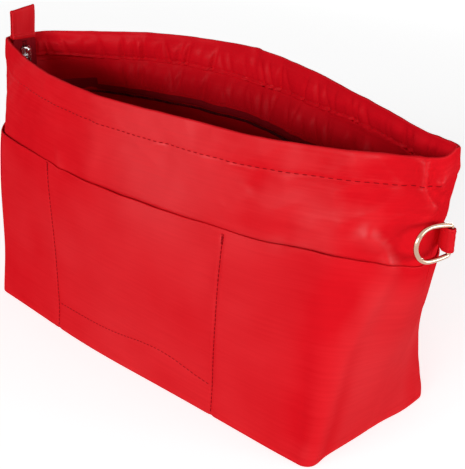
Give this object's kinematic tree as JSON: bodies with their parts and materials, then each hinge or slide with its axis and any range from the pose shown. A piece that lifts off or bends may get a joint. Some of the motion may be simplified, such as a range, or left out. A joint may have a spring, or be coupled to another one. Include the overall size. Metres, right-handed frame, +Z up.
{
  "type": "purse organizer insert",
  "caption": "Boxed nylon purse organizer insert standing open, with outer pockets, a hanging zip closure with an end tab, and a metal D-ring on a side loop.",
  "frame": {"origin": "middle of the underside of the base", "axes": "+X along the length to the end with the D-ring, +Y to the back, +Z up; the front with the pictured pockets faces -Y"},
  "size_m": [0.3454, 0.1192, 0.182],
  "materials": {
    "nylon": "smooth bright red nylon with a soft sheen",
    "lining": "red nylon lining",
    "zip_tape": "woven dark red zip tape",
    "zip_coil": "dark red nylon coil",
    "board": "stiff black base sheet, sealed in cloth",
    "silver": "polished nickel plate",
    "pale_gold": "polished pale gold plate"
  },
  "bodies": {
    "bag": {"front_panel": "nylon", "back_panel": "nylon", "base_panel": "nylon", "base_board": "board", "base_lining": "lining", "front_lining": "lining", "back_lining": "lining", "front_pocket": "nylon", "back_pocket": "nylon", "front_inner_pocket": "lining", "back_inner_pocket": "lining", "front_facing": "nylon", "back_facing": "nylon", "front_zip_strip": "nylon", "back_zip_strip": "nylon", "front_zip_tape": "zip_tape", "back_zip_tape": "zip_tape", "front_zip_coil": "zip_coil", "back_zip_coil": "zip_coil", "front_top_stop": "silver", "back_top_stop": "silver", "d_ring_loop": "nylon"},
    "ring": {"d_ring": "pale_gold"},
    "slider": {"zip_slider": "silver"},
    "pull": {"zip_pull": "silver"},
    "tab": {"zip_end_tab": "nylon", "zip_tape_end": "zip_tape"}
  },
  "joints": [
    {"name": "d_ring_swing", "type": "hinge", "parent": "bag", "child": "ring", "pos_m": [0.17358, 0, 0.1223], "axis": [0, 0, 1], "range_deg": [-8, 224]},
    {"name": "zip_slide", "type": "slide", "parent": "bag", "child": "slider", "axis": [0, 0, 1], "range_m": [-0.008, 0.0035]},
    {"name": "zip_pull_swing", "type": "hinge", "parent": "slider", "child": "pull", "pos_m": [-0.16013, -0.0035, 0.1514], "axis": [0, -1, 0], "range_deg": [0, 160]},
    {"name": "zip_tab_fold", "type": "hinge", "parent": "bag", "child": "tab", "pos_m": [-0.16904, -0.0035, 0.1653], "axis": [0, -1, 0], "range_deg": [0, 150]}
  ]
}
